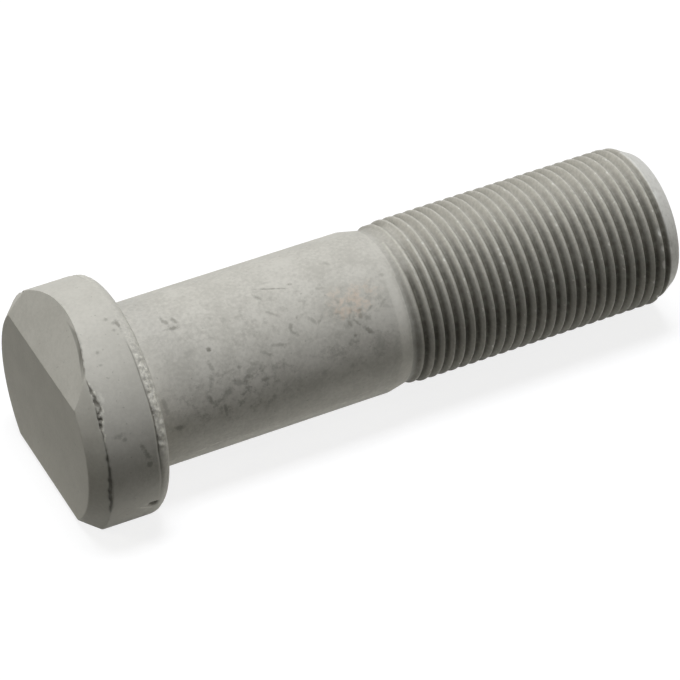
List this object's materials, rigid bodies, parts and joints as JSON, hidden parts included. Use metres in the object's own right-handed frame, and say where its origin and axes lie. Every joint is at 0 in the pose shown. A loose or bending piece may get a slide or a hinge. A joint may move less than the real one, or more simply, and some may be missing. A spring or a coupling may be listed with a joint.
{
  "type": "wheel bolt",
  "caption": "Forged wheel bolt with a D-shaped locking head, a plain shank, a tapered neck and a fine metric thread, in matt grey coated steel.",
  "frame": {"origin": "on the bolt's axis, in the plane of the head's seat, where the head bears on the hub", "axes": "+X runs along the bolt's axis from the head to the thread's tip, -Z is the side of the locking flat, which faces down as the bolt lies at rest, and +Y lies across"},
  "size_m": [0.0876, 0.032, 0.027],
  "materials": {
    "coated_steel": "matte"
  },
  "bodies": {
    "root": {"wheel_bolt": "coated_steel"}
  },
  "joints": []
}
